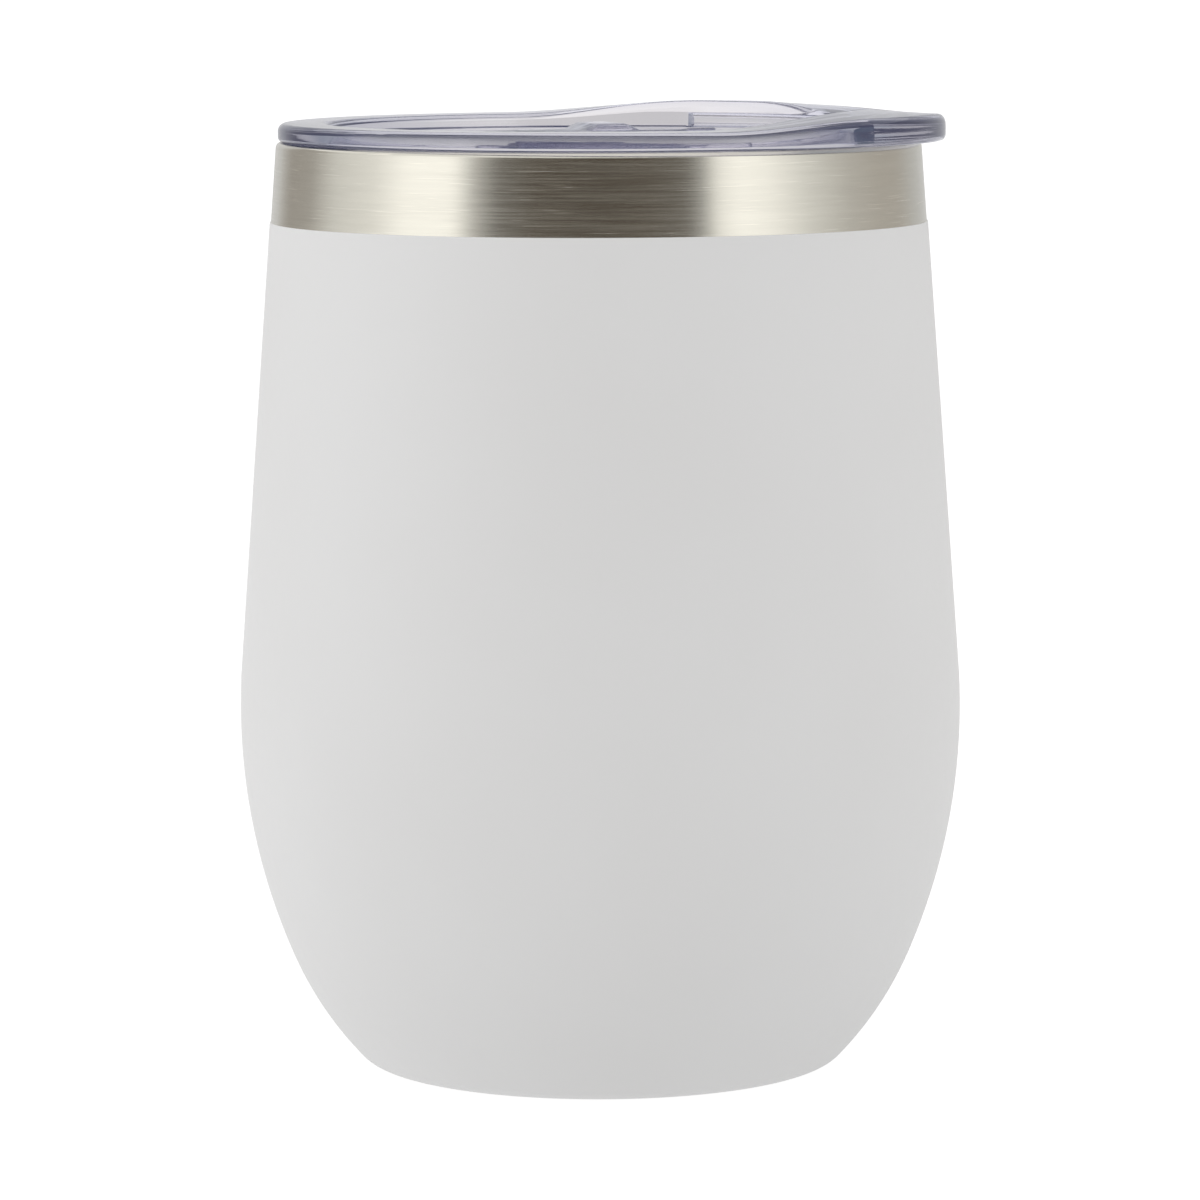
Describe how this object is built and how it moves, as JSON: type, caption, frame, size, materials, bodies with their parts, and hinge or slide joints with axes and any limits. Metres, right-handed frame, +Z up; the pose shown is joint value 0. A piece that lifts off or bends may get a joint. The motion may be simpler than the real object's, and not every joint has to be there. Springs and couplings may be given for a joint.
{
  "type": "insulated tumbler with lid",
  "caption": "Egg-shaped double-walled steel tumbler with a white powder coat, a bare steel rim band and a clear press-in lid with a sliding closure.",
  "frame": {"origin": "centre of the foot ring's standing plane, on the cup's axis", "axes": "+Z up along the cup's axis, +X towards the lid's drinking spout and along the slider's travel"},
  "size_m": [0.089, 0.089, 0.1178],
  "materials": {
    "brushed_band": "brushed around the cup",
    "powder_coat": "fine-textured matt powder coat",
    "liner_steel": "spun and electropolished",
    "copper_foil": "bright foil",
    "base_steel": "satin pressed sheet",
    "solder_glass": "glossy fused bead",
    "getter_alloy": "sintered, dull",
    "adhesive": "cured adhesive",
    "clear_lid": "clear, faint blue tint, polished",
    "silicone": "translucent matt silicone",
    "clear_slider": "clear, faint blue tint, polished"
  },
  "bodies": {
    "cup": {"outer_shell": "brushed_band", "powder_coat": "powder_coat", "inner_liner": "liner_steel", "heat_shield": "copper_foil", "outer_base": "base_steel", "vacuum_seal": "solder_glass", "getter": "getter_alloy", "getter_clip": "base_steel", "cap_adhesive": "adhesive", "base_cap": "base_steel"},
    "gasket": {"lid_gasket": "silicone"},
    "lid": {"lid_body": "clear_lid"},
    "slider": {"slider": "clear_slider", "slider_seal": "silicone"}
  },
  "joints": [
    {"name": "lid_lift", "type": "slide", "parent": "cup", "child": "gasket", "axis": [0, 0, 1], "range_m": [0, 0.04]},
    {"name": "lid_turn", "type": "hinge", "parent": "gasket", "child": "lid", "pos_m": [0, 0, 0.1139], "axis": [0, 0, 1], "continuous": true},
    {"name": "slider_slide", "type": "slide", "parent": "lid", "child": "slider", "axis": [1, 0, 0], "range_m": [0, 0.015]}
  ]
}
